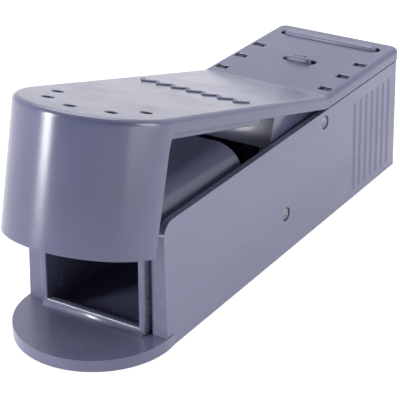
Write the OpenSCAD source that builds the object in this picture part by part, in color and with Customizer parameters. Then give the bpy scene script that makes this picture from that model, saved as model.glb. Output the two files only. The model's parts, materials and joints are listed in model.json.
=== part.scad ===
// Box-type snap mouse trap, drawn set: the hood at the front is raised, the lid behind is pressed down.
// X runs across, +Y runs to the back, +Z is up. The origin is on the underside, halfway along.
// Places along the trap are distances in front of a datum line just inside the rear wall, see at().

/* [Housing] */
// Outer width of the box at its rim
body_w = 60; // [56:1:66]
// Height of the side walls
wall_h = 50.4; // [48:0.1:53]
// Outward lean of each wall from rim to foot
draft = 1.35; // [0.8:0.05:1.6]
// Length from the rear wall to the front edges of the side walls
box_l = 194.9; // [193.3:0.1:195.3]
// Wall thickness
wall_t = 2.6; // [2.4:0.1:2.6]
// Floor thickness
floor_t = 2; // [1.6:0.1:2.1]
// Radius of the round doorstep
step_r = 31.7; // [31.4:0.1:33]
// Height of the doorstep's top
step_h = 4.7; // [4:0.1:5.2]
// Number of grip grooves in each side wall
grooves = 7; // [5:1:7]
// Distance between grip grooves
groove_pitch = 5.6; // [5.2:0.1:5.8]

/* [Entrance tunnel] */
// Half of the entrance's clear width
mouth_x = 20.6; // [20.3:0.1:20.8]
// Height of the sill's top
sill_z = 7.5; // [6.5:0.1:8]
// Crown height of the vaulted roof
vault_z = 53.5; // [51:0.1:53.6]
// Place of the tunnel's inner end
tunnel_end = 125.5; // [124.5:0.1:130]

/* [Hood] */
// Tilt of the raised hood
set_angle = 15.2; // [14.8:0.1:15.4]
// Height of the lid's top face
lid_z = 56.4; // [56:0.1:57]
// Thickness of the lid's plate
lid_t = 2; // [1.6:0.1:2.1]
// Radius of the skirt at its lower edge
skirt_r = 30.9; // [30.6:0.1:31.2]
// Height of the skirt's lower edge when the hood is shut
skirt_z = 6.5; // [6:0.1:7]
// Radius of the rounded top edge
edge_r = 2.1; // [1:0.1:2.8]
// Number of vent holes in the hood's top
vents = 5; // [3:2:5]

/* [Mechanism] */
// Radius of the hood's pivot pin and of the striker's stub pins
pin_r = 2; // [1.8:0.1:2]
// Radius of the small pins of the treadle and the catch
small_pin_r = 1.2; // [1:0.1:1.3]
// Reach of the striker from its pin to its bar
striker_l = 27.4; // [25:0.1:28]
// Wire radius of the main springs
spring_wire = 0.7; // [0.5:0.05:0.8]
// Turns in each main spring
spring_turns = 4; // [3:1:5]

/* [Hidden] */
$fn = 96;

function at(d) = 112 - d;           // Y of a point d in front of the datum line
function unit(v) = v / norm(v);

eps = 0.01;
big = 400;
run_gap = 0.05;                     // radial clearance of a turning fit
rim_x = body_w / 2;                 // outer face of the box at its rim
rear_y = at(-2.3);                  // outer face of the rear wall at its rim
front_y = rear_y - box_l;           // front edges of the side walls
lean = atan(draft / wall_h);        // lean of the walls
corner_r = 3.8;                     // plan radius of the box's rear corners
nose_r = 6;                         // round of the side walls' top front corners
jamb_d = 4;                         // depth of the thick front edge of each side wall
jamb_gap = 1.2;                     // width and depth of the groove between that edge and the tunnel
step_y = at(192.3);                 // centre of the doorstep's round
step_back = 4;                      // length of the doorstep inside the box
step_rim = 2.2;                     // rim left around the hollow under the doorstep
groove_w = 3.6;                     // width of a grip groove
groove_d = 0.5;                     // depth of a grip groove
groove_r = groove_w ^ 2 / groove_d / 8 + groove_d / 2;      // hollow of a grip groove
groove_z = [3.4, 45];               // lower and upper end of the grooves
groove_first = 42.5;                // place of the front groove

tunnel_x = 23.4;                    // outer face of the tunnel's walls
tunnel_front = 195.5;               // place of the entrance frame's front face
vault_r = 12;                       // round of the vault's shoulders
vault_t = 1.8;                      // thickness of the vault
sill_d = 2.8;                       // depth of the sill

pivot = [0, at(69.8), 45.3];        // hood pivot
hub = [0, at(103.2), 17.2];         // striker pivot
head_r = 2.5;                       // radius of the pins' domed heads
head_seat_r = 3;                    // radius of the recess around a head
head_seat_d = 0.7;                  // depth of that recess

flange_z = wall_h + 0.7;            // lower edge of the lid's flange
flange_t = 2;                       // thickness of the flange
lid_x = rim_x + 0.4;                // outer face of the flange
lid_r = 4.5;                        // plan radius of the lid's rear corners
lid_y = rear_y + 0.3;               // rear face of the lid
bend_y = pivot.y + (lid_z - pivot.z) * tan(set_angle / 2);  // place of the bend in the lid
skirt_d = 193;                      // place of the skirt's centre and rear edges
skirt_t = 2.2;                      // thickness of the skirt
crotch_r = 4;                       // round between skirt and flange
locator_x = 26.8;                   // outer face of the locating ribs under the hood
locator_t = 1.4;                    // thickness of the locating ribs
locator_z = 47.9;                   // lower edge of the locating ribs
locator_ds = [121.5, 199];          // ends of the locating ribs
vent_r = 2.2;                       // radius of a vent hole
vent_ring = 19;                     // radius of the arc that the vents lie on
window = [5.5, 4];                  // size of a clip window
window_x = 25;                      // place of the clip windows across
window_ds = [28.3, 44.5, 60.7];     // places of the clip windows along
grip_slot = [49.4, 5.5];            // size of the slot for the grip bar
grip_l = 45.4;                      // length of the grip bar
grip_d = 7.8;                       // place of the grip bar
clip = [3.4, 3.2];                  // size of a clip behind its window
catch_slot = [15.8, 5.6];           // size of the slot for the catch
catch_d = 36.7;                     // place of the catch slot
chevrons = 7;                       // raised grip marks on the hood
chevron_d = 131;                    // place of the grip marks

frame_x = 24.2;                     // inner face of the lever frame's side plates
frame_t = 1.8;                      // thickness of the lever frame
frame_d = 108.8;                    // place of the lever frame's cross plate
frame_z = 36.6;                     // lower edge of the cross plate
frame_knee = [64, 74];              // places where the side plates narrow behind the pivot
boss_r = 5;                         // radius of the frame's pivot boss
rail_z = 48.5;                      // lower edge of the rear rail at its far end
rail_ds = [11, 15, 66];             // places of the rear rail's corners
arm_x = 17.9;                       // inner face of the striker's arms
arm_t = 1.8;                        // thickness of the striker's arms
bar_r = 1.5;                        // radius of the striker's bar
peg_r = 1.2;                        // radius of the striker's drive pegs
peg_l = 6.95;                       // reach of a peg from the striker's pin
fork_gap = 0.65;                    // clearance of a peg in its fork
fork_wall = 1.8;                    // thickness of a fork's prongs
fork_slot = 7.5;                    // depth of a fork's slot
fork_l = 41;                        // reach of a fork from the hood's pivot
arm_lean = 4.9;                     // backward lean of the set striker
line_angle = atan2(pivot.z - hub.z, pivot.y - hub.y);
fork_angle = line_angle - set_angle / 2;    // slope of a fork at rest

treadle_hinge = [0, at(58), 5.4];   // treadle pivot
treadle_z = 5;                      // underside of the treadle plate
treadle_t = 1.6;                    // thickness of the treadle plate
treadle_x = 17.4;                   // half width of the treadle plate
treadle_front = 122;                // place of the treadle's front edge
treadle_back = 59;                  // place where the treadle meets its hinge
barrel_r = 2.2;                     // radius of the treadle's hinge barrels
tongue_x = 2.6;                     // half width of the treadle's tongue
tongue_back = 44;                   // place of the tongue's rear edge
lug_r = 2.6;                        // radius of the hinge lugs on the floor
lug_t = 2;                          // thickness of the hinge lugs
lug_gap = 0.8;                      // gap between a lug and the piece it holds
coil_gap = [3.2, 5.2];              // gap in the barrel, left of the middle
hub_x = 3;                          // half width of the catch's hub
thin_wire = 0.25;                   // wire radius of the small springs
cup_d = 82;                         // place of the bait cup
cup_r = 10;                         // radius of the bait cup
cup_z = 8;                          // top of the bait cup
catch_hinge = [0, at(33), 9];       // catch pivot
catch_x = 5;                        // half width of the catch
catch_foot = 46.5;                  // place of the catch's foot
catch_face = [36.3, 39];            // rear and front face of the catch's upright
nose_z = 2.8;                       // height of the catch's nose above the lid
coil_r = 4;                         // mean radius of the main springs
coil_x = 12;                        // inner end of the main springs
post_d = 50;                        // place of the main springs' posts
post_z = 33;                        // top of the main springs' posts
post = [6, 4];                      // size of a post
spring_reach = 48;                  // place where the main springs press the lid

plastic = [0.45, 0.46, 0.56];
dark_plastic = [0.33, 0.34, 0.42];
steel = [0.75, 0.76, 0.78];

// ---------- helpers ----------

// A plate of thickness t from x0, its outline drawn in (y, z)
module side_plate(x0, t) {
    translate([x0, 0, 0]) rotate([90, 0, 90]) linear_extrude(t) children();
}

// The same piece on the left and on the right
module both_sides() {
    children();
    mirror([1, 0, 0]) children();
}

// A rod along X between x0 and x1, centred on p
module rod_x(p, r, x0, x1) {
    translate([x0, p.y, p.z]) rotate([0, 90, 0]) cylinder(r = r, h = x1 - x0);
}

// Turns what is drawn with the hood shut into the raised position
module raised() {
    translate(pivot) rotate([-set_angle, 0, 0]) translate(-pivot) children();
}

// Round-ended slot, length l and width w, centred, along X
module stadium(l, w) {
    square([l - w, w], center = true);
    for (s = [-1, 1]) translate([s * (l - w) / 2, 0]) circle(d = w);
}

// A box whose walls lean outwards towards the foot, open to any inset from its outer faces
module leaning_box(inset, z0, front) {
    top_x = rim_x - inset;
    low_x = top_x + draft;
    back = rear_y - inset;
    c = corner_r - inset / 2;
    intersection() {
        union() {
            translate([0, back - c, 0]) rotate([90, 0, 0]) linear_extrude(back - c - front)
                polygon([[-low_x, 0], [low_x, 0], [top_x, wall_h], [-top_x, wall_h]]);
            translate([c - top_x, 0, 0]) rotate([90, 0, 90]) linear_extrude(2 * (top_x - c))
                polygon([[back - c - 1, 0], [back + draft, 0], [back, wall_h], [back - c - 1, wall_h]]);
            both_sides() translate([top_x - c, back - c, 0])
                cylinder(r1 = c + draft, r2 = c, h = wall_h);
        }
        translate([-big / 2, -big / 2, z0]) cube([big, big, big]);
    }
}

// Wire of radius r along a path whose steps are never parallel to X
module wire(path, r) {
    n = len(path);
    sides = 10;
    function heading(i) = unit(path[min(i + 1, n - 1)] - path[max(i - 1, 0)]);
    function ring(i) =
        let (t = heading(i), u = unit(cross(t, [1, 0, 0])), v = cross(t, u))
        [for (k = [0:sides - 1]) path[i] + r * (cos(360 * k / sides) * u + sin(360 * k / sides) * v)];
    points = [for (i = [0:n - 1]) each ring(i)];
    skin = [
        for (i = [0:n - 2], k = [0:sides - 1])
            [i * sides + k, i * sides + (k + 1) % sides, (i + 1) * sides + (k + 1) % sides,
                (i + 1) * sides + k]
    ];
    first = [for (k = [0:sides - 1]) sides - 1 - k];
    last = [for (k = [0:sides - 1]) (n - 1) * sides + k];
    polyhedron(points, concat(skin, [first, last]), convexity = 6);
}

// Path of a torsion spring round an X axis through c: from p0 straight to the coil, clockwise round it
// for the given number of full turns and the rest, and straight on to p1. p0 and p1 are (y, z).
function torsion_path(c, r, x0, pitch, turns, p0, p1) =
    let (
        in_way = [c.y, c.z] - p0,
        out_way = p1 - [c.y, c.z],
        a0 = atan2(in_way.y, in_way.x) + asin(r / norm(in_way)) + 90,
        a1 = atan2(out_way.y, out_way.x) - asin(r / norm(out_way)) + 90,
        rest = (a0 - a1) - 360 * floor((a0 - a1) / 360),
        sweep = rest + 360 * turns,
        steps = ceil(sweep / 15),
        coil = [
            for (i = [0:steps])
                let (a = a0 - sweep * i / steps)
                [x0 + pitch * sweep * i / steps / 360, c.y + r * cos(a), c.z + r * sin(a)]
        ]
    )
    concat([[x0, p0.x, p0.y]], coil, [[x0 + pitch * sweep / 360, p1.x, p1.y]]);

// ---------- housing ----------

// Shallow hollow groove up the side wall, round at both ends
module grip_groove(d) {
    long = groove_z[1] - groove_z[0] - groove_w;
    mid = (groove_z[0] + groove_z[1]) / 2;
    translate([rim_x + draft * (wall_h - mid) / wall_h, at(d), mid]) rotate([0, -lean, 0])
        translate([groove_r - groove_d, 0, 0]) {
            cylinder(r = groove_r, h = long, center = true);
            for (end = [-1, 1]) translate([0, 0, end * long / 2]) sphere(r = groove_r);
        }
}

module pin_seat(p) {
    face = rim_x + draft * (wall_h - p.z) / wall_h;
    both_sides() {
        rod_x(p, pin_r + 0.01, rim_x - 5, rim_x + 3);
        rod_x(p, head_seat_r, face - head_seat_d, rim_x + 3);
    }
}

module lug(x0, hinge) {
    side_plate(x0, lug_t) difference() {
        union() {
            translate([hinge.y - lug_r, floor_t - 0.5]) square([2 * lug_r, hinge.z - floor_t + 0.5]);
            translate([hinge.y, hinge.z]) circle(r = lug_r);
        }
        translate([hinge.y, hinge.z]) circle(r = small_pin_r + 0.01);
    }
}

// Thick front edge of the right-hand wall, with a narrow groove between it and the tunnel
module jamb() {
    high = wall_h - nose_r - floor_t + 0.5;
    translate([tunnel_x, front_y + jamb_gap, floor_t - 0.5])
        cube([jamb_gap + eps, jamb_d - jamb_gap, high]);
    translate([tunnel_x + jamb_gap, front_y, floor_t - 0.5])
        cube([rim_x - wall_t / 2 - tunnel_x - jamb_gap, jamb_d, high]);
}

module housing_shell() {
    color(plastic) difference() {
        union() {
            difference() {
                leaning_box(0, 0, front_y);
                leaning_box(wall_t, floor_t, front_y - 1);
                translate([-big / 2, front_y, wall_h - nose_r]) rotate([90, 0, 90]) linear_extrude(big)
                    difference() {
                        translate([-1, 0]) square([nose_r + 1, nose_r + 1]);
                        translate([nose_r, 0]) circle(r = nose_r);
                    }
            }
            both_sides() jamb();
            intersection() {
                translate([0, step_y, 0]) cylinder(r = step_r, h = step_h);
                translate([-big / 2, step_y - big + step_back, -1]) cube([big, big, big]);
            }
            both_sides() lug(treadle_x + lug_gap, treadle_hinge);
            both_sides() lug(catch_x + lug_gap, catch_hinge);
            both_sides() translate([coil_x + 1, at(post_d) - post.y / 2, floor_t - 0.5])
                cube([post.x, post.y, post_z - floor_t + 0.5]);
        }
        intersection() {
            translate([0, step_y, -1]) cylinder(r = step_r - step_rim, h = step_h - step_rim + 1);
            translate([-big / 2, front_y - big - step_rim, -2]) cube([big, big, big]);
        }
        both_sides() for (i = [0:grooves - 1]) grip_groove(groove_first - i * groove_pitch);
        pin_seat(pivot);
        pin_seat(hub);
        translate([0, at(cup_d), -1]) cylinder(r = cup_r + 0.02, h = floor_t + 2);
        translate([0, at(cup_d), -1]) cylinder(r = cup_r + 1.52, h = 1 + 0.8);
    }
}

// Outline of the tunnel in (x, z): half width x, crown height top, shoulders of radius r
module vault_outline(x, top, r) {
    translate([-x, 0]) square([2 * x, top - r]);
    translate([-(x - r), 0]) square([2 * (x - r), top]);
    for (s = [-1, 1]) translate([s * (x - r), top - r]) circle(r = r);
}

module entrance_tunnel() {
    color(plastic) difference() {
        translate([0, at(tunnel_end), 0]) rotate([90, 0, 0]) linear_extrude(tunnel_front - tunnel_end)
            difference() {
                intersection() {
                    vault_outline(tunnel_x, vault_z, vault_r);
                    translate([-big / 2, floor_t]) square([big, big]);
                }
                translate([0, -1]) vault_outline(mouth_x, vault_z - vault_t + 1, vault_r - vault_t);
            }
        // the walls stand on the doorstep in front and on the floor behind
        translate([-big / 2, at(tunnel_front) - 1, -1])
            cube([big, step_y + step_back - at(tunnel_front) + 1, step_h + 1]);
    }
    color(plastic) translate([-mouth_x, at(tunnel_front), step_h])
        cube([2 * mouth_x, sill_d, sill_z - step_h]);
}

// Half section of a pin from its middle (x0) to its domed head, for turning about X
module pin_section(x0, p) {
    seat = rim_x + draft * (wall_h - p.z) / wall_h - head_seat_d;
    translate([0, x0]) square([pin_r, seat - x0 + eps]);
    intersection() {
        translate([0, seat]) square([head_r, 2]);
        translate([0, seat - 4]) circle(r = 4.95);
    }
}

// A pin from x0 to its head in the right-hand wall, centred on p
module headed_pin(x0, p) {
    translate([0, p.y, p.z]) rotate([0, 90, 0]) rotate_extrude() pin_section(x0, p);
}

module pivot_pin() {
    color(steel) both_sides() headed_pin(0, pivot);
}

module striker_pins() {
    color(steel) both_sides() headed_pin(arm_x - 0.4, hub);
}

module treadle_pin() {
    color(steel) rod_x(treadle_hinge, small_pin_r, -treadle_x - 3.2, treadle_x + 3.2);
}

module catch_pin() {
    color(steel) rod_x(catch_hinge, small_pin_r, -catch_x - 2.8, catch_x + 2.8);
}

module bait_cup() {
    color(dark_plastic) translate([0, at(cup_d), 0]) difference() {
        union() {
            cylinder(r = cup_r, h = cup_z);
            cylinder(r = cup_r + 1.5, h = 0.8);
        }
        translate([0, 0, 2]) cylinder(r = cup_r - 1.2, h = cup_z);
        // coin slot for turning the cup out
        translate([-6, -0.8, -1]) cube([12, 1.6, 2]);
    }
}

// ---------- hood and its lever ----------

// Section of the lid's edge: plate, flange and rounded top edge. The origin is the outer top corner.
module rim_section(reach, drop) {
    difference() {
        union() {
            translate([-reach, -lid_t]) square([reach, lid_t]);
            translate([-flange_t, -drop]) square([flange_t, drop]);
            translate([-flange_t - 1.5, -lid_t - 1.5]) difference() {
                square([1.5 + eps, 1.5 + eps]);
                circle(r = 1.5);
            }
        }
        translate([-edge_r, -edge_r]) difference() {
            square([edge_r + 1, edge_r + 1]);
            circle(r = edge_r);
        }
    }
}

// Section of the skirt, from its centre line outwards
module skirt_section() {
    difference() {
        polygon([
            [0, lid_z - lid_t], [lid_x - skirt_t, lid_z - lid_t], [skirt_r - skirt_t, skirt_z],
            [skirt_r, skirt_z], [lid_x, lid_z - edge_r], [lid_x, lid_z], [0, lid_z]
        ]);
        translate([lid_x - edge_r, lid_z - edge_r]) difference() {
            square([edge_r + 1, edge_r + 1]);
            circle(r = edge_r);
        }
    }
}

// Everything in front of the bend's mitre plane
module before_bend() {
    translate([0, bend_y, lid_z]) rotate([-set_angle / 2, 0, 0])
        translate([-big / 2, -big, -big / 2]) cube([big, big, big]);
}

module lid_rear() {
    drop = lid_z - flange_z;
    inner = lid_x - lid_r;
    long = lid_y - lid_r - bend_y + 4;
    difference() {
        union() {
            translate([-inner, lid_y - lid_r - long, lid_z - lid_t]) cube([2 * inner, long, lid_t]);
            both_sides() translate([lid_x, lid_y - lid_r, lid_z]) rotate([90, 0, 0])
                linear_extrude(long) rim_section(lid_r, drop);
            both_sides() translate([inner, lid_y - lid_r, lid_z])
                rotate_extrude(angle = 90) translate([lid_r, 0]) rim_section(lid_r, drop);
            translate([-inner, lid_y, lid_z]) rotate([90, 0, 90])
                linear_extrude(2 * inner) rim_section(lid_r, drop);
        }
        before_bend();
    }
}

module lid_front() {
    drop = lid_z - flange_z;
    inner = lid_x - lid_r;
    long = bend_y - at(skirt_d) + 4;
    intersection() {
        raised() {
            translate([-inner, at(skirt_d), lid_z - lid_t]) cube([2 * inner, long, lid_t]);
            both_sides() translate([lid_x, at(skirt_d) + long, lid_z]) rotate([90, 0, 0])
                linear_extrude(long) rim_section(lid_r, drop);
        }
        before_bend();
    }
    raised() {
        translate([0, at(skirt_d), 0]) rotate([0, 0, 180]) rotate_extrude(angle = 180) skirt_section();
        both_sides() side_plate(lid_x - flange_t, flange_t) translate([at(skirt_d), flange_z + 0.01])
            difference() {
                translate([0, -crotch_r]) square([crotch_r, crotch_r]);
                translate([crotch_r, -crotch_r]) circle(r = crotch_r);
            }
        both_sides() translate([locator_x - locator_t, at(locator_ds[1]), locator_z])
            cube([locator_t, locator_ds[1] - locator_ds[0], lid_z - lid_t - locator_z + eps]);
    }
}

// Raised arrow-shaped grip marks, pointing forwards
module grip_marks() {
    for (i = [0:chevrons - 1]) translate([(i - (chevrons - 1) / 2) * 7, at(chevron_d), lid_z - 0.2])
        linear_extrude(0.7) polygon([[-3, 3.5], [0, -0.5], [3, 3.5], [3, 0.5], [0, -3.5], [-3, 0.5]]);
}

module hood_cover() {
    color(plastic) difference() {
        union() {
            lid_rear();
            lid_front();
            raised() grip_marks();
        }
        raised() for (i = [0:vents - 1]) {
            a = 180 + 180 * i / (vents - 1);
            translate([vent_ring * cos(a), at(skirt_d) + vent_ring * sin(a), lid_z - 5])
                cylinder(r = vent_r, h = 9);
        }
        both_sides() for (d = window_ds) translate([window_x, at(d), lid_z])
            cube([window.x, window.y, 8], center = true);
        translate([0, at(grip_d), lid_z - 5]) linear_extrude(9) stadium(grip_slot.x, grip_slot.y);
        translate([0, at(catch_d), lid_z - 5]) linear_extrude(9) stadium(catch_slot.x, catch_slot.y);
    }
}

// One side of the lever frame: front plate, pivot boss, fork and rear rail
module frame_side() {
    difference() {
        union() {
            raised() side_plate(frame_x, frame_t) {
                polygon([
                    [at(frame_d), frame_z], [at(frame_d), lid_z - lid_t], [at(frame_knee[1]), lid_z - lid_t],
                    [at(frame_knee[0]), pivot.z], [at(frame_knee[1]), frame_z + 4]
                ]);
                translate([pivot.y, pivot.z]) circle(r = boss_r);
            }
            translate(pivot) rotate([fork_angle - 180, 0, 0])
                translate([frame_x, 0, -peg_r - fork_gap - fork_wall])
                cube([frame_t, fork_l, 2 * (peg_r + fork_gap + fork_wall)]);
            side_plate(frame_x, frame_t) polygon([
                [at(rail_ds[2]), pivot.z], [at(rail_ds[1]), rail_z], [at(rail_ds[0]), lid_z - lid_t],
                [at(frame_knee[0]), lid_z - lid_t], [at(rail_ds[2] + 2), lid_z - lid_t - 1]
            ]);
        }
        rod_x(pivot, pin_r + run_gap, 0, rim_x);
        translate(pivot) rotate([fork_angle - 180, 0, 0])
            translate([0, fork_l - fork_slot, -peg_r - fork_gap])
            cube([rim_x, 2 * fork_slot, 2 * (peg_r + fork_gap)]);
    }
}

module lever_frame() {
    color(plastic) {
        both_sides() frame_side();
        raised() translate([-frame_x - eps, at(frame_d), frame_z])
            cube([2 * (frame_x + eps), frame_t, lid_z - lid_t - frame_z]);
    }
}

module lid_clips() {
    color(dark_plastic) both_sides() for (d = window_ds)
        translate([window_x + window.x / 2 - 0.5 - clip.x, at(d) - clip.y / 2, lid_z - lid_t])
            cube([clip.x, clip.y, lid_t - 0.6]);
}

module grip_bar() {
    crest_r = grip_slot.y / 2 - 0.35;
    color(plastic) intersection() {
        translate([-grip_l / 2, at(grip_d), lid_z - 1.6]) rotate([0, 90, 0])
            cylinder(r = crest_r, h = grip_l);
        translate([-big / 2, -big / 2, lid_z - lid_t]) cube([big, big, 10]);
    }
    color(plastic) translate([-grip_l / 2, at(grip_d) - 3.4, lid_z - lid_t - 1.6]) cube([grip_l, 6.8, 1.6]);
}

module pivot_washers() {
    color(dark_plastic) both_sides() difference() {
        rod_x(pivot, 4, frame_x + frame_t + 0.1, rim_x - wall_t - 0.1);
        rod_x(pivot, pin_r + 0.02, 0, rim_x);
    }
}

// One leg stands on a post of the housing, the other pushes the lid up from below
module main_spring() {
    path = torsion_path(pivot, coil_r, coil_x + 1.6, 2 * spring_wire + 0.1, spring_turns,
        [at(post_d), post_z + spring_wire + 0.05],
        [at(spring_reach), lid_z - lid_t - spring_wire - 0.1]);
    color(steel) wire(path, spring_wire);
}

module main_spring_right() {
    main_spring();
}

module main_spring_left() {
    mirror([1, 0, 0]) main_spring();
}

// ---------- striker ----------

module striker_arm() {
    translate(hub) rotate([-arm_lean, 0, 0]) difference() {
        union() {
            rod_x([0, 0, 0], 3.6, arm_x, arm_x + arm_t);
            translate([arm_x, -2.2, 0]) cube([arm_t, 4.4, striker_l]);
            rod_x([0, 0, striker_l], 2.6, arm_x, arm_x + arm_t);
        }
        rod_x([0, 0, 0], pin_r + run_gap, 0, rim_x);
        rod_x([0, 0, striker_l], bar_r, 0, rim_x);
        rod_x([0, 0, peg_l], peg_r, 0, rim_x);
    }
}

module striker_arm_right() {
    color(dark_plastic) striker_arm();
}

module striker_arm_left() {
    color(dark_plastic) mirror([1, 0, 0]) striker_arm();
}

module striker_bar() {
    color(steel) translate(hub) rotate([-arm_lean, 0, 0])
        rod_x([0, 0, striker_l], bar_r, -arm_x - arm_t - 0.4, arm_x + arm_t + 0.4);
}

module striker_pegs() {
    color(steel) both_sides() translate(hub) rotate([-arm_lean, 0, 0])
        rod_x([0, 0, peg_l], peg_r, arm_x, frame_x + frame_t + 0.4);
}

// ---------- treadle and catch ----------

module treadle_plate() {
    color(dark_plastic) difference() {
        union() {
            translate([-treadle_x, at(treadle_front), treadle_z])
                cube([2 * treadle_x, treadle_front - treadle_back, treadle_t]);
            rod_x(treadle_hinge, barrel_r, -treadle_x, treadle_x);
            // the tongue behind the hinge lifts the catch's foot
            translate([-tongue_x, at(treadle_back), treadle_z])
                cube([2 * tongue_x, treadle_back - tongue_back, treadle_t]);
            // cross ribs
            for (d = [97:6:117]) translate([-treadle_x + 2, at(d), treadle_z + treadle_t - eps])
                cube([2 * treadle_x - 4, 1.2, 0.5]);
        }
        rod_x(treadle_hinge, small_pin_r + run_gap, -rim_x, rim_x);
        // gap in the barrel for the spring
        translate([-coil_gap[1], treadle_hinge.y - 2.4, 0])
            cube([coil_gap[1] - coil_gap[0], 5, 12]);
        translate([0, at(cup_d), 0]) cylinder(r = cup_r + 1.5, h = 12);
    }
}

// One leg stands on the floor behind the hinge, the other holds the plate up in front of it
module treadle_spring() {
    path = torsion_path(treadle_hinge, small_pin_r + 0.6, -coil_gap[1] + 0.5, 0.6, 1,
        [at(51), floor_t + 0.3], [at(66), treadle_z - 0.75]);
    color(steel) wire(path, thin_wire);
}

module catch_lever() {
    foot_z = treadle_z + treadle_t + 0.7;
    color(plastic) difference() {
        union() {
            side_plate(-hub_x, 2 * hub_x) {
                translate([catch_hinge.y, catch_hinge.z]) circle(r = barrel_r + 0.4);
                polygon([[at(30.8), 9], [at(32.2), 14], [at(36.2), 14], [at(35.6), 9]]);
                polygon([
                    [at(33), 11], [at(33), foot_z], [at(catch_foot), foot_z],
                    [at(catch_foot), foot_z + 1.4], [at(36), 11]
                ]);
            }
            side_plate(-catch_x, 2 * catch_x) {
                polygon([
                    [at(32.2), 12.6], [at(catch_face[0]), 48], [at(catch_face[1]), 48], [at(35.8), 12.6]
                ]);
                polygon([
                    [at(catch_face[1]), 46], [at(catch_face[1]), lid_z + nose_z - 1.2],
                    [at(catch_face[1] - 0.9), lid_z + nose_z], [at(catch_face[0] + 0.9), lid_z + nose_z],
                    [at(catch_face[0]), lid_z + nose_z - 1.2], [at(catch_face[0]), 46]
                ]);
            }
        }
        rod_x(catch_hinge, small_pin_r + run_gap, -rim_x, rim_x);
    }
}

// One leg presses the back of the catch forwards, the other stands on the floor
module catch_spring() {
    path = torsion_path(catch_hinge, small_pin_r + 0.5, hub_x + 0.4, 0.6, 1,
        [at(32.1), 20], [at(24), floor_t + 0.3]);
    color(steel) wire(path, thin_wire);
}

housing_shell();
entrance_tunnel();
pivot_pin();
striker_pins();
treadle_pin();
catch_pin();
bait_cup();
hood_cover();
lever_frame();
lid_clips();
grip_bar();
pivot_washers();
main_spring_left();
main_spring_right();
striker_arm_left();
striker_arm_right();
striker_bar();
striker_pegs();
treadle_plate();
treadle_spring();
catch_lever();
catch_spring();
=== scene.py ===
import json
import math

import bmesh
import bpy
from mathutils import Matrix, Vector
from mathutils.geometry import delaunay_2d_cdt


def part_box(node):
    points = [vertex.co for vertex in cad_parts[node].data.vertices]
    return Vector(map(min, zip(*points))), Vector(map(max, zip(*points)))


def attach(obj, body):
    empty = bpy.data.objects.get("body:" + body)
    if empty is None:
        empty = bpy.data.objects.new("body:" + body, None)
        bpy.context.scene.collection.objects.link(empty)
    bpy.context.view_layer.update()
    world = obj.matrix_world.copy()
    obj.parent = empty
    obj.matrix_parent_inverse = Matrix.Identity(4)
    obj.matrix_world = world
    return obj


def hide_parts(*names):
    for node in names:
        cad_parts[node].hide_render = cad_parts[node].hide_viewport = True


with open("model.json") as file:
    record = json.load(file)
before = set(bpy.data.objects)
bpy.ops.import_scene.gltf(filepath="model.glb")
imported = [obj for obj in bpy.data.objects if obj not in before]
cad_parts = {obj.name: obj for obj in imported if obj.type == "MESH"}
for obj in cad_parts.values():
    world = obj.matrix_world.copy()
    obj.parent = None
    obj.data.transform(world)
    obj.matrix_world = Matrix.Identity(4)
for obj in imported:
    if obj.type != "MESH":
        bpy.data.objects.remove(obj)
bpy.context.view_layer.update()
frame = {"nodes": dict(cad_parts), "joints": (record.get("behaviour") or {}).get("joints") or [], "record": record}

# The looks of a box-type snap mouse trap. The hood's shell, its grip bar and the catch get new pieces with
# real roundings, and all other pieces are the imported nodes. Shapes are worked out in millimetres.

MM = 0.001

# ---------- camera ----------

AZIMUTH = math.radians(31.74)
ELEVATION = math.radians(25.94)
LENS_MM = 133.2
SENSOR_MM = 36
CAMERA_PLACE = Vector((0.2836, -0.4662, 0.2848))


def make_camera():
    data = bpy.data.cameras.new("camera")
    data.lens = LENS_MM
    data.sensor_width = SENSOR_MM
    camera = bpy.data.objects.new("camera", data)
    bpy.context.scene.collection.objects.link(camera)
    camera.location = CAMERA_PLACE
    camera.rotation_euler = (math.pi / 2 - ELEVATION, 0, AZIMUTH)
    bpy.context.scene.camera = camera


make_camera()

# ---------- node helpers ----------


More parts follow.
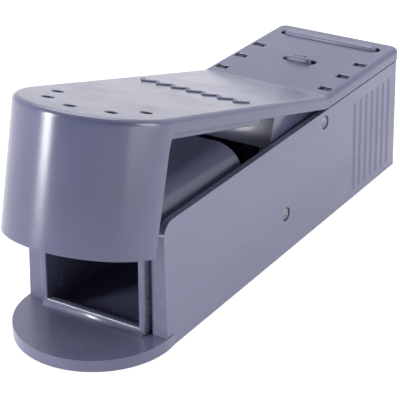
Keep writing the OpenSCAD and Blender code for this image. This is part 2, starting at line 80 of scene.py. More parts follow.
class Nodes:
    """Short calls for building a material's node tree."""

    def __init__(self, name):
        self.material = bpy.data.materials.new(name)
        self.material.use_nodes = True
        self.tree = self.material.node_tree
        self.shader = self.tree.nodes["Principled BSDF"]
        self.place = self.add("ShaderNodeTexCoord").outputs["Object"]

    def add(self, kind, **settings):
        node = self.tree.nodes.new(kind)
        for key, value in settings.items():
            setattr(node, key, value)
        return node

    def link(self, source, target):
        self.tree.links.new(source, target)

    def value(self, socket, value):
        """Links the socket, or sets it where the value is a plain number or colour."""
        if isinstance(value, bpy.types.NodeSocket):
            self.link(value, socket)
        else:
            socket.default_value = value

    def scaled(self, scale):
        node = self.add("ShaderNodeMapping")
        self.link(self.place, node.inputs["Vector"])
        node.inputs["Scale"].default_value = scale
        return node.outputs["Vector"]

    def noise(self, scale, detail=3.0, rough=0.5, vector=None, seed=0.0):
        """Noise from 0 to 1. The scale is in features a metre."""
        node = self.add("ShaderNodeTexNoise", noise_dimensions="4D")
        self.link(vector or self.place, node.inputs["Vector"])
        node.inputs["W"].default_value = seed
        node.inputs["Scale"].default_value = scale
        node.inputs["Detail"].default_value = detail
        node.inputs["Roughness"].default_value = rough
        return node.outputs["Fac"]

    def math(self, operation, a, b, clamp=False):
        node = self.add("ShaderNodeMath", operation=operation, use_clamp=clamp)
        self.value(node.inputs[0], a)
        self.value(node.inputs[1], b)
        return node.outputs[0]

    def spread(self, value, low, high, to_low=0.0, to_high=1.0):
        """Maps low..high to to_low..to_high, clamped."""
        node = self.add("ShaderNodeMapRange")
        self.link(value, node.inputs["Value"])
        node.inputs["From Min"].default_value = low
        node.inputs["From Max"].default_value = high
        node.inputs["To Min"].default_value = to_low
        node.inputs["To Max"].default_value = to_high
        return node.outputs["Result"]

    def mix(self, amount, a, b):
        node = self.add("ShaderNodeMix", data_type="RGBA")
        self.value(node.inputs["Factor"], amount)
        self.value(node.inputs["A"], a)
        self.value(node.inputs["B"], b)
        return node.outputs["Result"]

    def scratches(self, turn, density, width, seed):
        """Sparse fine lines, 1 on a line and 0 elsewhere, turned by angles in degrees."""
        stretch = self.add("ShaderNodeMapping")
        self.link(self.place, stretch.inputs["Vector"])
        stretch.inputs["Rotation"].default_value = [math.radians(a) for a in turn]
        stretch.inputs["Scale"].default_value = (1, 0.045, 0.3)
        cells = self.add("ShaderNodeTexVoronoi", feature="DISTANCE_TO_EDGE", voronoi_dimensions="4D")
        self.link(stretch.outputs["Vector"], cells.inputs["Vector"])
        cells.inputs["W"].default_value = seed
        cells.inputs["Scale"].default_value = density
        line = self.spread(cells.outputs["Distance"], 0.0, width, 1.0, 0.0)
        where = self.spread(self.noise(density * 0.12, 2.0, seed=seed + 5), 0.56, 0.66)
        return self.math("MULTIPLY", line, where)

    def bump(self, height, strength, distance, below=None):
        """A bump on top of the one below it, its distance in metres."""
        node = self.add("ShaderNodeBump")
        node.inputs["Strength"].default_value = strength
        node.inputs["Distance"].default_value = distance
        self.link(height, node.inputs["Height"])
        if below:
            self.link(below, node.inputs["Normal"])
        return node.outputs["Normal"]


def shade(colour, factor, lift=0.0):
    """A colour with alpha, scaled and lifted."""
    return (*[min(1, c * factor + lift) for c in colour], 1)


# ---------- materials ----------


def moulded_plastic(name, colour, roughness, gloss=0.5, marks=1.0):
    """Injection-moulded plastic with flow marks, orange peel, flecks, dust, rubbed patches and scratches.
    marks scales how strongly the flecks, the dust and the scratches show."""
    n = Nodes(name)
    pale = shade(colour, 1.5, 0.05)
    flow = n.noise(26, 2.0, 0.55, n.scaled((1, 0.35, 1)), 1)
    tone = n.mix(n.spread(flow, 0.35, 0.65), shade(colour, 0.9), shade(colour, 1.07))

    flecks = n.noise(2600, 1.0, 0.4, seed=2)
    tone = n.mix(n.spread(flecks, 0.70, 0.78, 0, 0.16 * marks), tone, pale)
    lines = n.math(
        "MAXIMUM",
        n.scratches((0, 0, 25), 150, 0.004, 3),
        n.scratches((20, 70, -50), 110, 0.0035, 9),
    )
    tone = n.mix(n.math("MULTIPLY", lines, 0.06 * marks), tone, pale)
    dust_spots = n.spread(n.noise(900, 2.0, 0.6, seed=4), 0.69, 0.73)
    dust_area = n.spread(n.noise(30, 3.0, seed=6), 0.5, 0.68)
    dust = n.math("MULTIPLY", dust_spots, dust_area)
    tone = n.mix(n.math("MULTIPLY", dust, 0.28 * marks), tone, pale)
    n.link(tone, n.shader.inputs["Base Color"])

    rubbed = n.spread(n.noise(55, 4.0, 0.6, seed=7), 0.45, 0.72, 0.0, 0.07)
    rough = n.math("ADD", rubbed, roughness)
    marred = n.math("MULTIPLY", n.math("MAXIMUM", lines, dust), 0.12)
    n.link(n.math("ADD", rough, marred, clamp=True), n.shader.inputs["Roughness"])
    n.shader.inputs["IOR"].default_value = 1.5
    n.shader.inputs["Specular IOR Level"].default_value = gloss

    waves = n.bump(n.noise(70, 2.0, seed=8), 0.12, 0.00025)
    peel = n.bump(n.noise(1500, 2.0, seed=10), 0.10, 0.00002, waves)
    cuts = n.bump(n.math("SUBTRACT", 1.0, lines), 0.02, 0.00001, peel)
    n.link(cuts, n.shader.inputs["Normal"])
    return n.material


def steel(name, colour, roughness):
    """Drawn steel with fine lines along X, smudges and a few dull specks."""
    n = Nodes(name)
    n.shader.inputs["Metallic"].default_value = 1.0
    lines = n.noise(1, 2.0, 0.6, n.scaled((300, 9000, 9000)), 1)
    stain = n.spread(n.noise(400, 4.0, 0.6, seed=2), 0.5, 0.7)
    dull = shade(colour, 0.55)
    tone = n.mix(n.spread(lines, 0.3, 0.7, 0, 0.3), shade(colour, 1), dull)
    tone = n.mix(n.math("MULTIPLY", stain, 0.45), tone, dull)
    n.link(tone, n.shader.inputs["Base Color"])
    rough = n.math("ADD", n.spread(lines, 0.3, 0.7, 0, 0.12), roughness)
    rough = n.math("ADD", rough, n.math("MULTIPLY", stain, 0.15))
    n.link(rough, n.shader.inputs["Roughness"])
    n.link(n.bump(lines, 0.25, 0.00002), n.shader.inputs["Normal"])
    return n.material


def paper(name):
    """White paper with a glow of its own, so that it stays white in the trap's shade."""
    n = Nodes(name)
    tone = n.mix(n.noise(40, 3.0), (0.37, 0.37, 0.37, 1), (0.39, 0.39, 0.39, 1))
    n.link(tone, n.shader.inputs["Base Color"])
    n.shader.inputs["Roughness"].default_value = 0.9
    n.shader.inputs["Specular IOR Level"].default_value = 0.1
    n.shader.inputs["Emission Color"].default_value = (1, 1, 1, 1)
    n.shader.inputs["Emission Strength"].default_value = 0.78
    return n.material


VIOLET = (0.107, 0.110, 0.182)
DEEP_VIOLET = (0.079, 0.084, 0.150)
MATERIALS = {
    # the record's slots
    "housing_plastic": moulded_plastic("housing_plastic", VIOLET, 0.24),
    "hood_plastic": moulded_plastic("hood_plastic", DEEP_VIOLET, 0.20),
    "dark_plastic": moulded_plastic("dark_plastic", (0.060, 0.060, 0.095), 0.38, 0.4, 0.6),
    "pin_steel": steel("pin_steel", (0.19, 0.19, 0.23), 0.34),
    "spring_steel": steel("spring_steel", (0.50, 0.50, 0.52), 0.25),
    # variants of them on single pieces
    "grip_marks": moulded_plastic("grip_marks", (0.10, 0.10, 0.16), 0.55, 0.25, 0.5),
    # near-black, rough and dull: painted shade for the recesses of the lid's clip windows
    "clip_painted_shade": moulded_plastic("clip_painted_shade", (0.022, 0.022, 0.042), 0.60, 0.2, 0.5),
    "worn_foot": moulded_plastic("worn_foot", VIOLET, 0.30, 1.0),
    "handle_plastic": moulded_plastic("handle_plastic", VIOLET, 0.36, 0.40),
}


def repaint(piece, name):
    """Swaps a piece's material for another one."""
    piece.data.materials[0] = MATERIALS[name]


for part in frame["record"]["subparts"]:
    mesh = frame["nodes"][part["node"]].data
    mesh.materials.clear()
    mesh.materials.append(MATERIALS[part["material_slot"]])
# the clips under the lid's windows are painted near-black, as painted shade in the windows' recesses
repaint(frame["nodes"]["lid_clips"], "clip_painted_shade")

# ---------- rounded edges ----------

WELD = 0.00002                      # points closer than this are merged before an edge is rounded
FLAT_ANGLE = math.radians(0.5)      # faces that meet at less are merged
EDGE_ANGLE = math.radians(30)       # edges that are sharper are rounded


def smooth_shading(mesh):
    for face in mesh.polygons:
        face.use_smooth = True


def soften(piece, width):
    """Rounds a piece's edges with bevels of a width in metres, its flat faces merged first."""
    smooth_shading(piece.data)
    weld = piece.modifiers.new("weld", "WELD")
    weld.merge_threshold = WELD
    flat = piece.modifiers.new("merge_faces", "DECIMATE")
    flat.decimate_type = "DISSOLVE"
    flat.angle_limit = FLAT_ANGLE
    bevel = piece.modifiers.new("round_edges", "BEVEL")
    bevel.width = width
    bevel.segments = 2
    bevel.limit_method = "ANGLE"
    bevel.angle_limit = EDGE_ANGLE
    bevel.harden_normals = True
    even = piece.modifiers.new("even_shading", "WEIGHTED_NORMAL")
    even.keep_sharp = True


soften(frame["nodes"]["housing_shell"], 0.5 * MM)
soften(frame["nodes"]["entrance_tunnel"], 0.6 * MM)
soften(frame["nodes"]["lever_frame"], 0.2 * MM)

# ---------- shape helpers, in millimetres ----------

REAR = 112.0                        # Y of the datum line that places are measured from


def at_rest(x, d, z):
    """A point at a distance d in front of the datum line."""
    return (x, REAR - d, z)


def new_piece(name, mesh, slot, body, node=None):
    """An object with a slot's material that rides on a body and may stand for a CAD node."""
    piece = bpy.data.objects.new(name, mesh)
    bpy.context.scene.collection.objects.link(piece)
    mesh.materials.append(MATERIALS[slot])
    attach(piece, body)
    if node:
        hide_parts(node)
    return piece


def mesh_of(name, points, faces):
    """A mesh from points in millimetres, with doubled points merged and its faces turned outwards."""
    mesh = bpy.data.meshes.new(name)
    mesh.from_pydata([[c * MM for c in p] for p in points], [], faces)
    work = bmesh.new()
    work.from_mesh(mesh)
    bmesh.ops.remove_doubles(work, verts=work.verts, dist=0.002 * MM)
    bmesh.ops.dissolve_degenerate(work, edges=work.edges, dist=0.001 * MM)
    bmesh.ops.recalc_face_normals(work, faces=work.faces)
    work.to_mesh(mesh)
    work.free()
    return mesh


def box_mesh(name, low, high, place):
    """A box between two corners (x, d, z), its points carried by place()."""
    corners = [(x, d, z) for x in (low[0], high[0]) for d in (low[1], high[1]) for z in (low[2], high[2])]
    faces = [(0, 1, 3, 2), (4, 6, 7, 5), (0, 4, 5, 1), (2, 3, 7, 6), (0, 2, 6, 4), (1, 5, 7, 3)]
    return mesh_of(name, [place(*c) for c in corners], faces)


def prism_mesh(name, bases, ends):
    """Prisms between pairs of equal outlines, with the given faces at both ends."""
    points, faces = [], []
    for low, high in bases:
        first, n = len(points), len(low)
        points += low + high
        for k in range(n):
            after = (k + 1) % n
            faces.append([first + k, first + after, first + n + after, first + n + k])
        for base in (first, first + n):
            faces += [[base + k for k in end] for end in ends]
    return mesh_of(name, points, faces)


def arc(centre, radius, start, end, count):
    """Points on an arc in a plane, angles in degrees."""
    turns = [math.radians(start + (end - start) * i / count) for i in range(count + 1)]
    return [(centre[0] + radius * math.cos(t), centre[1] + radius * math.sin(t)) for t in turns]


def slot_outline(centre, size, corner):
    """Outline of a rounded rectangle of a size across and along."""
    x, y = size[0] / 2 - corner, size[1] / 2 - corner
    quarters = ((x, y, 0), (-x, y, 90), (-x, -y, 180), (x, -y, 270))
    points = []
    for dx, dy, start in quarters:
        points += arc((centre[0] + dx, centre[1] + dy), corner, start, start + 90, 10)
    return points


def inside(point, outline):
    """Whether a point lies in a closed outline, by the number of edges to its right."""
    odd = False
    for (ax, ay), (bx, by) in zip(outline, outline[1:] + outline[:1]):
        spans = (ay > point.y) != (by > point.y)
        if spans and point.x < ax + (point.y - ay) / (by - ay) * (bx - ax):
            odd = not odd
    return odd


# ---------- the hood's shell: its shape ----------

PIVOT_Y, PIVOT_Z = [(a + b) / 2 / MM for a, b in zip(*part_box("pivot_pin"))][1:]
SET = math.radians(next(j["range_deg"][1] for j in frame["joints"] if j["name"] == "hood_pivot"))
LID_Z = 56.4                        # top of the lid
LID_X = 30.4                        # half width of the lid
LID_BACK = -2.6                     # rear face of the lid
LID_CORNER = 4.5                    # plan radius of its rear corners
EDGE_R = 2.1                        # rounding of its top edge
SHELL_T = 2.05                      # thickness of the shell
FLANGE = 5.3                        # depth of the flange below the top
FLANGE_TOP = EDGE_R + 1.2           # depth of a row of points just below the rounded edge
SKIRT_H = LID_Z - 6.5               # height of the skirt
SKIRT_BACK = 193.0                  # rear edges of the skirt
SKIRT_NEXT = 1.6                    # from there to the skirt's second column of points
SKIRT_STEPS = 36                    # steps from that column round to the front
SKIRT_ROWS = 8                      # steps down the skirt
SKIRT_TOP = (LID_X, 194.3)          # radius and centre of the skirt's outline at the top
SKIRT_FOOT = (30.9, 191.3)          # and at its lower edge
CROTCH_R = 4.0                      # round between skirt and flange
BEND_R = 13.0                       # round of the bend in the lid
ROUND_OFF = 0.38                    # bevel of the shell's cut edges
ROUND_ANGLE = math.radians(40)      # edges sharper than this get that bevel

GRIP_D = 7.8                        # place of the grip bar
GRIP_SLOT = (49.4, 5.5)             # size of its slot
CATCH_SLOT_D = 36.7                 # place of the slot for the catch
CATCH_SLOT = (15.8, 5.6)            # and its size
WINDOW = (5.5, 4)                   # size of a clip window
WINDOW_R = 0.6                      # its corner radius
WINDOW_X = 25.0                     # place of the clip windows across
WINDOW_PLACES = (28.3, 44.5, 60.7)  # and along
VENTS = 5
VENT_R = 2.25
VENT_RING = (19, 193)               # radius and centre of the arc that the vents lie on
BAND = 0.45                         # width of the band of faces round a hole
TINY = 1e-6                         # points closer than this are the same

HALF_BEND = (LID_Z - PIVOT_Z) * math.tan(SET / 2)
BEND_REAR = REAR - PIVOT_Y - HALF_BEND      # place of the sharp bend, on the rear part
BEND_FRONT = REAR - PIVOT_Y + HALF_BEND     # the same line on the front part
TANGENT = BEND_R * math.tan(SET / 2)
ARC_START = BEND_REAR - TANGENT             # path where the round of the bend starts
ARC_END = ARC_START + BEND_R * SET

QUARTER = [math.radians(15 * i) for i in range(7)]
CROTCH_PLACES = [SKIRT_BACK - CROTCH_R * (1 - math.sin(t)) for t in QUARTER]
BEND_PATHS = [ARC_START + (ARC_END - ARC_START) * i / 8 for i in range(9)]
REAR_COLUMNS = (0, 7, 14, 20)                               # X of columns on the rear face
SIDE_COLUMNS = (8, 20, 32, 44, 54, 60)                      # paths of columns on the rear part's side
FRONT_COLUMNS = (78, 90, 105, 120, 135, 150, 165, 180)      # places of columns on the front part's side


def raised(x, d, z):
    """A point of the shut hood, carried to the raised position."""
    y, z = REAR - d - PIVOT_Y, z - PIVOT_Z
    turned_y = y * math.cos(SET) + z * math.sin(SET)
    turned_z = z * math.cos(SET) - y * math.sin(SET)
    return (x, PIVOT_Y + turned_y, PIVOT_Z + turned_z)


def path_of(d):
    """Path along the lid's top of a place d on the hood's front part."""
    return ARC_END + d - BEND_FRONT - TANGENT


def on_lid(x, path, height):
    """Point at a distance along the lid's top from the datum line, and a height above its surface."""
    if path <= ARC_START:
        return (x, REAR - path, LID_Z + height)
    if path < ARC_END:
        turn = (path - ARC_START) / BEND_R
        reach = BEND_R - height
        return (x, REAR - ARC_START - reach * math.sin(turn), LID_Z + BEND_R - reach * math.cos(turn))
    return raised(x, path - ARC_END + BEND_FRONT + TANGENT, LID_Z + height)


# A column is a function of the outline's growth. It gives the (x, path) of a point on the right half.


def side_column(path):
    return lambda grow: (LID_X + grow, path)


def rear_corner(angle):
    across, back = math.sin(math.radians(angle)), math.cos(math.radians(angle))
    x, path = LID_X - LID_CORNER, LID_BACK + LID_CORNER
    return lambda grow: (x + (LID_CORNER + grow) * across, path - (LID_CORNER + grow) * back)


def rear_column(x):
    return lambda grow: (x, LID_BACK - grow)


def lid_columns():
    """The right half of the lid's outline, from the middle of the rear to the skirt's rear edge."""
    columns = [rear_column(x) for x in REAR_COLUMNS]
    columns += [rear_corner(angle) for angle in range(0, 91, 9)]
    columns += [side_column(path) for path in SIDE_COLUMNS]
    columns += [side_column(path) for path in BEND_PATHS]
    columns += [side_column(path_of(d)) for d in FRONT_COLUMNS]
    columns += [side_column(path_of(d)) for d in CROTCH_PLACES[:-1]]
    return columns


def skirt_point(share, grow, along):
    """(x, path) on the skirt's outline, at a share of its height below the top. along runs from 0 at the
    right rear edge to 1 at the front."""
    radius = SKIRT_TOP[0] + (SKIRT_FOOT[0] - SKIRT_TOP[0]) * share + grow
    centre = SKIRT_TOP[1] + (SKIRT_FOOT[1] - SKIRT_TOP[1]) * share
    if along == 0:
        over = max(0, SKIRT_BACK - centre)
        return (math.sqrt(radius ** 2 - over ** 2), path_of(SKIRT_BACK))
    first = math.asin((SKIRT_BACK + SKIRT_NEXT - centre) / radius)
    turn = first + (math.pi / 2 - first) * (along * (SKIRT_STEPS + 1) - 1) / SKIRT_STEPS
    return (radius * math.cos(turn), path_of(centre + radius * math.sin(turn)))


def leaned(grow, height):
    """Growth of the outline at a height above the top, with the skirt's draft added."""
    return grow - (SKIRT_FOOT[0] - SKIRT_TOP[0]) * height / SKIRT_H


def edge_rows():
    """(growth, height) of the points down the rounded edge and the flange."""
    rows = [(EDGE_R * (math.sin(t) - 1), EDGE_R * (math.cos(t) - 1)) for t in QUARTER]
    return rows + [(0, -FLANGE_TOP), (0, -FLANGE)]


def lid_holes():
    """Slots, clip windows and vents. Each is a pair: its outline and a wider one."""

    def slot_pair(centre, size, corner):
        return [slot_outline(centre, (size[0] + 2 * g, size[1] + 2 * g), corner + g) for g in (0, BAND)]

    def round_ended(d, size):
        nearly_half = size[1] / 2 - 0.01
        return slot_pair((0, d), size, nearly_half)

    holes = [round_ended(GRIP_D, GRIP_SLOT), round_ended(CATCH_SLOT_D, CATCH_SLOT)]
    for d in WINDOW_PLACES:
        holes += [slot_pair((side * WINDOW_X, d), WINDOW, WINDOW_R) for side in (-1, 1)]
    ring_r, ring_d = VENT_RING
    for i in range(VENTS):
        turn = math.pi * i / (VENTS - 1)
        centre = (ring_r * math.cos(turn), path_of(ring_d + ring_r * math.sin(turn)))
        holes.append([arc(centre, VENT_R + g, 0, 360, 32)[:-1] for g in (0, BAND)])
    return holes


# ---------- the hood's shell: its mesh ----------


class Sheet:
    """Points and faces of the shell's outside, laid along the lid's path."""

    def __init__(self):
        self.points = []
        self.faces = []
        self.ring = []              # (x, path) of the top plate's outline

    def column(self, side, places):
        """Adds a column of (x, path, height) from the top plate's rim down."""
        first = len(self.points)
        self.points += [on_lid(side * x, path, height) for x, path, height in places]
        return list(range(first, len(self.points)))

    def strips(self, columns):
        """Joins neighbouring columns by faces, as far down as both reach."""
        for left, right in zip(columns, columns[1:]):
            for (a, b), (c, d) in zip(zip(left, left[1:]), zip(right, right[1:])):
                self.faces.append([a, b, d, c])

    def half(self, side):
        """One half of the edge, the flange and the skirt."""
        rows = edge_rows()
        lid = []
        for outline in lid_columns():
            places = [(*outline(leaned(grow, height)), height) for grow, height in rows]
            lid.append(self.column(side, places))
            self.ring.append((side * places[0][0], places[0][1]))

        top = -FLANGE - CROTCH_R
        skirt_rows = rows + [(0, top - (SKIRT_H + top) * i / SKIRT_ROWS) for i in range(SKIRT_ROWS + 1)]
        skirt = []
        for step in range(SKIRT_STEPS + 2):
            along = step / (SKIRT_STEPS + 1)
            places = [(*skirt_point(-height / SKIRT_H, grow, along), height) for grow, height in skirt_rows]
            skirt.append(self.column(side, places))
            self.ring.append((side * places[0][0], places[0][1]))

        self.strips(lid)
        self.strips(skirt)
        self.strips([lid[-1], skirt[0][:len(rows)]])
        flange_foot = [column[-1] for column in lid[1 - len(QUARTER):]] + [skirt[0][len(rows) - 1]]
        self.crotch(side, flange_foot)

    def crotch(self, side, flange_foot):
        """The round between skirt and flange, below the last points of the flange."""
        places = []
        for turn, d in zip(QUARTER, CROTCH_PLACES):
            height = -FLANGE - CROTCH_R * (1 - math.cos(turn))
            places.append((LID_X + leaned(0, height), path_of(d), height))
        self.strips([flange_foot, self.column(side, places)])

    def top_plate(self, holes):
        """The plate inside the ring, less the holes, with rows across the bend. A narrow band of square
        faces round each hole keeps its bevel even."""
        half = len(self.ring) // 2
        ring = self.ring[:half] + self.ring[half:][::-1]
        ring = [p for i, p in enumerate(ring) if (Vector(p) - Vector(ring[i - 1])).length > TINY]
        points = list(ring)
        edges = [(i, (i + 1) % len(ring)) for i in range(len(ring))]
        for path in BEND_PATHS:
            edges.append([i for i, p in enumerate(ring) if abs(p[1] - path) < TINY][:2])
        for _, wide in holes:
            first = len(points)
            points += wide
            edges += [(first + i, first + (i + 1) % len(wide)) for i in range(len(wide))]
        flat = [Vector(p) for p in points]
        places, _, faces, _, _, _ = delaunay_2d_cdt(flat, edges, [], 0, TINY)
        kept = []
        for face in faces:
            middle = sum((places[i] for i in face), Vector((0, 0))) / len(face)
            if inside(middle, ring) and not any(inside(middle, wide) for _, wide in holes):
                kept.append(list(face))
        points = [(p.x, p.y) for p in places]
        for hole, wide in holes:
            first, n = len(points), len(hole)
            points += hole + wide
            for i in range(n):
                after = (i + 1) % n
                kept.append([first + i, first + after, first + n + after, first + n + i])
        base = len(self.points)
        self.points += [on_lid(x, path, 0) for x, path in points]
        self.faces += [[base + i for i in face] for face in kept]


def hood_shell():
    """One shell: top plate with its bend, rounded edge, flange and skirt."""
    sheet = Sheet()
    for side in (1, -1):
        sheet.half(side)
    sheet.top_plate(lid_holes())
    mesh = mesh_of("hood_shell", sheet.points, sheet.faces)
    piece = new_piece("hood_shell", mesh, "hood_plastic", "hood", "hood_cover")
    smooth_shading(mesh)
    thick = piece.modifiers.new("thickness", "SOLIDIFY")
    thick.thickness = SHELL_T * MM
    thick.offset = -1
    thick.use_even_offset = True
    thick.thickness_clamp = 0
    bevel = piece.modifiers.new("round_edges", "BEVEL")
    bevel.width = ROUND_OFF * MM
    bevel.segments = 3
    bevel.limit_method = "ANGLE"
    bevel.angle_limit = ROUND_ANGLE
    bevel.use_clamp_overlap = False
    even = piece.modifiers.new("even_shading", "WEIGHTED_NORMAL")
    even.mode = "FACE_AREA"
    even.weight = 90


# ---------- ribs and grip marks on the hood ----------

RIB_XS = (25.4, 26.8)               # inner and outer face of the right rib
RIB_DS = (121.5, 199)               # ends of the ribs
RIB_FOOT = 47.9                     # lower edge of the ribs
RIB_TOP = LID_Z - 1                 # upper edge, within the shell's thickness
MARKS = 7
MARK_PITCH = 7
MARK_D = 131                        # place of the row of marks
MARK_H = 0.5                        # height of a mark above the lid
MARK_ROOT = 0.3                     # depth of its root in the lid


def locating_ribs():
    for side, word in ((1, "right"), (-1, "left")):
        near, far = sorted(side * x for x in RIB_XS)
        low, high = (near, RIB_DS[0], RIB_FOOT), (far, RIB_DS[1], RIB_TOP)
        mesh = box_mesh("hood_rib_" + word, low, high, raised)
        piece = new_piece("hood_rib_" + word, mesh, "hood_plastic", "hood", "hood_cover")
        soften(piece, 0.3 * MM)


def grip_marks():
    """Row of raised arrow marks across the hood, with a matt top."""
    outline = [(-3.1, 3.6), (0, -0.2), (3.1, 3.6), (3.1, 0.6), (0, -3.6), (-3.1, 0.6)]
    bases = []
    for i in range(MARKS):
        middle = (i - (MARKS - 1) / 2) * MARK_PITCH
        heights = (LID_Z - MARK_ROOT, LID_Z + MARK_H)
        bases.append([[raised(middle + x, MARK_D - y, z) for x, y in outline] for z in heights])
    mesh = prism_mesh("grip_marks", bases, ((0, 1, 4, 5), (1, 2, 3, 4)))
    piece = new_piece("grip_marks", mesh, "hood_plastic", "hood", "hood_cover")
    soften(piece, 0.15 * MM)
    repaint(piece, "grip_marks")


hood_shell()
locating_ribs()
grip_marks()

# ---------- foot of the entrance frame ----------

SILL_FRONT = REAR - 195.5           # Y of the frame's front face
FILLET_X = 22.6                      # half width of the fillet
STEP_TOP = 4.7                      # height of the doorstep's top
FILLET_R = 1.5
FILLET_ROOT = 0.3                   # depth of its root in frame and doorstep


def sill_fillet():
    """Hollow round where the entrance frame meets the doorstep."""
    back, foot = SILL_FRONT + FILLET_ROOT, STEP_TOP - FILLET_ROOT
    centre = (SILL_FRONT - FILLET_R, STEP_TOP + FILLET_R)
    profile = [(back, foot), (back, centre[1])] + arc(centre, FILLET_R, 0, -90, 8) + [(centre[0], foot)]
    ends = [[(x, y, z) for y, z in profile] for x in (-FILLET_X, FILLET_X)]
    mesh = prism_mesh("sill_fillet", [ends], [range(len(profile))])
    piece = new_piece("sill_fillet", mesh, "housing_plastic", "housing")
    repaint(piece, "worn_foot")
    for face in mesh.polygons:
        face.use_smooth = len(face.vertices) == 4


sill_fillet()

# ---------- grip bar and catch ----------

BAR_SECTION = 16                    # steps round a bar's upper half
SIDE_POWER = 0.5                    # powers below 1 make a bar's sides steeper
TOP_POWER = 0.45                    # and its top flatter than a half circle
BAR_FOOT_DS = (4.4, 11.2)           # rear and front edge of the grip bar's foot
CUT_Z = LID_Z - 5                   # where the catch's lever ends and its tab starts


def rounded_bar(name, half_l, half_w, end_r, middle, base, crest):
    """A bar along X with a rounded top and ends. middle is its place d, base and crest are its heights."""
    stations = [(-half_l + end_r * (1 - math.cos(t)), math.sin(t)) for t in QUARTER]
    stations += [(-x, size) for x, size in reversed(stations)]
    points, faces = [], []
    for x, size in stations:
        lost = end_r * (1 - size)
        for k in range(BAR_SECTION + 1):
            turn = math.pi * k / BAR_SECTION
            across = math.copysign(abs(math.cos(turn)) ** SIDE_POWER, math.cos(turn))
            up = math.sin(turn) ** TOP_POWER
            y = REAR - middle + (half_w - lost) * across
            points.append((x, y, base + (crest - base - lost) * up))
    row = BAR_SECTION + 1
    for first in range(0, len(points) - row, row):
        for k in range(first, first + BAR_SECTION):
            faces.append([k, k + 1, k + row + 1, k + row])
        faces.append([first, first + row, first + row + BAR_SECTION, first + BAR_SECTION])
    for first in (0, len(points) - row):
        faces.append(list(range(first, first + row)))
    mesh = mesh_of(name, points, faces)
    smooth_shading(mesh)
    return mesh


def grip_bar():
    mesh = rounded_bar(
        "grip_bar_crest", half_l=22.7, half_w=2.5, end_r=1.8,
        middle=GRIP_D, base=LID_Z - SHELL_T, crest=LID_Z + 1.5,
    )
    repaint(new_piece("grip_bar_crest", mesh, "hood_plastic", "hood", "grip_bar"), "handle_plastic")
    lowest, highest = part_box("grip_bar")
    low = (lowest.x / MM, BAR_FOOT_DS[0], lowest.z / MM)
    high = (highest.x / MM, BAR_FOOT_DS[1], LID_Z - SHELL_T)
    mesh = box_mesh("grip_bar_foot", low, high, at_rest)
    soften(new_piece("grip_bar_foot", mesh, "hood_plastic", "hood", "grip_bar"), 0.3 * MM)


def catch_arm():
    """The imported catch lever, cut off below the lid."""
    work = bmesh.new()
    work.from_mesh(frame["nodes"]["catch_lever"].data)
    bmesh.ops.remove_doubles(work, verts=work.verts, dist=0.01 * MM)
    everything = work.verts[:] + work.edges[:] + work.faces[:]
    place, up = (0, 0, CUT_Z * MM), (0, 0, 1)
    cut = bmesh.ops.bisect_plane(work, geom=everything, plane_co=place, plane_no=up, clear_outer=True)
    edges = [e for e in cut["geom_cut"] if isinstance(e, bmesh.types.BMEdge)]
    bmesh.ops.holes_fill(work, edges=edges)
    bmesh.ops.recalc_face_normals(work, faces=work.faces)
    mesh = bpy.data.meshes.new("catch_arm")
    work.to_mesh(mesh)
    work.free()
    soften(new_piece("catch_arm", mesh, "hood_plastic", "catch", "catch_lever"), 0.4 * MM)


def catch_head():
    """The rounded tab that a finger pushes, with a small ridge on it."""
    tab = rounded_bar(
        "catch_tab", half_l=5.9, half_w=1.9, end_r=1.8,
        middle=37.5, base=CUT_Z, crest=LID_Z + 2.1,
    )
    ridge = rounded_bar(
        "catch_ridge", half_l=3.4, half_w=0.8, end_r=0.6,
        middle=36.9, base=LID_Z + 1.4, crest=LID_Z + 2.8,
    )
    for mesh in (tab, ridge):
        repaint(new_piece(mesh.name, mesh, "hood_plastic", "catch", "catch_lever"), "handle_plastic")


grip_bar()
catch_arm()
catch_head()

# ---------- light and floor, in metres ----------


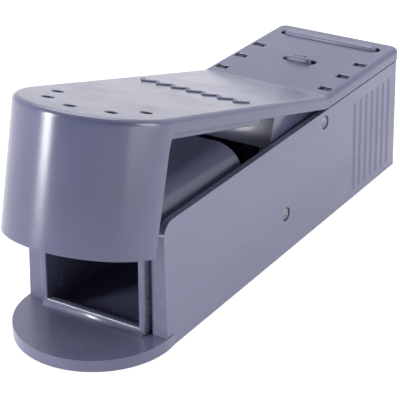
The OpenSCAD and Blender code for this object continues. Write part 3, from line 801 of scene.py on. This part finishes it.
def area_light(name, place, target, size, radiance):
    """A softbox whose face has the given radiance."""
    data = bpy.data.lights.new(name, "AREA")
    data.shape = "RECTANGLE"
    data.size, data.size_y = size
    data.energy = radiance * math.pi * size[0] * size[1]
    lamp = bpy.data.objects.new(name, data)
    bpy.context.scene.collection.objects.link(lamp)
    lamp.location = place
    way = Vector(target) - Vector(place)
    lamp.rotation_euler = way.to_track_quat("-Z", "Y").to_euler()


DARK_SIDE = (0.526, -0.85, -0.15)   # way in which the room is dark, towards the camera
ROOM_LIGHT = 1.02
ROOM_DARK = 0.06


def studio_world():
    """White room that is dim on the camera's side."""
    world = bpy.data.worlds.new("studio")
    bpy.context.scene.world = world
    world.use_nodes = True
    tree = world.node_tree
    way = tree.nodes.new("ShaderNodeTexCoord").outputs["Generated"]
    dot = tree.nodes.new("ShaderNodeVectorMath")
    dot.operation = "DOT_PRODUCT"
    dot.inputs[1].default_value = DARK_SIDE
    tree.links.new(way, dot.inputs[0])
    fade = tree.nodes.new("ShaderNodeMapRange")
    fade.interpolation_type = "SMOOTHSTEP"
    fade.inputs["From Min"].default_value = -0.25
    fade.inputs["From Max"].default_value = 0.5
    fade.inputs["To Min"].default_value = ROOM_LIGHT
    fade.inputs["To Max"].default_value = ROOM_DARK
    tree.links.new(dot.outputs["Value"], fade.inputs["Value"])
    background = tree.nodes["Background"]
    tree.links.new(fade.outputs["Result"], background.inputs["Strength"])
    background.inputs["Color"].default_value = (1, 1, 1, 1)


studio_world()
area_light("left_softbox", (-0.55, -0.95, 0.25), (0, -0.08, 0.05), (0.22, 0.6), 33)
area_light("top_softbox", (-0.42, 0.45, 1.15), (0, 0, 0), (0.95, 0.95), 5.0)
area_light("right_softbox", (0.90, 0.25, 0.35), (0, 0, 0.03), (0.5, 0.5), 7.5)
area_light("right_bounce", (0.30, -0.04, 0.05), (0.03, -0.04, 0.02), (0.25, 0.08), 2.2)

# a hair below the trap's underside, so that the two don't share a plane
bpy.ops.mesh.primitive_plane_add(size=6, location=(0, 0, -0.1 * MM))
floor = bpy.context.active_object
floor.name = "floor"
floor.data.materials.append(paper("floor_paper"))

bpy.context.scene.view_settings.view_transform = "Standard"
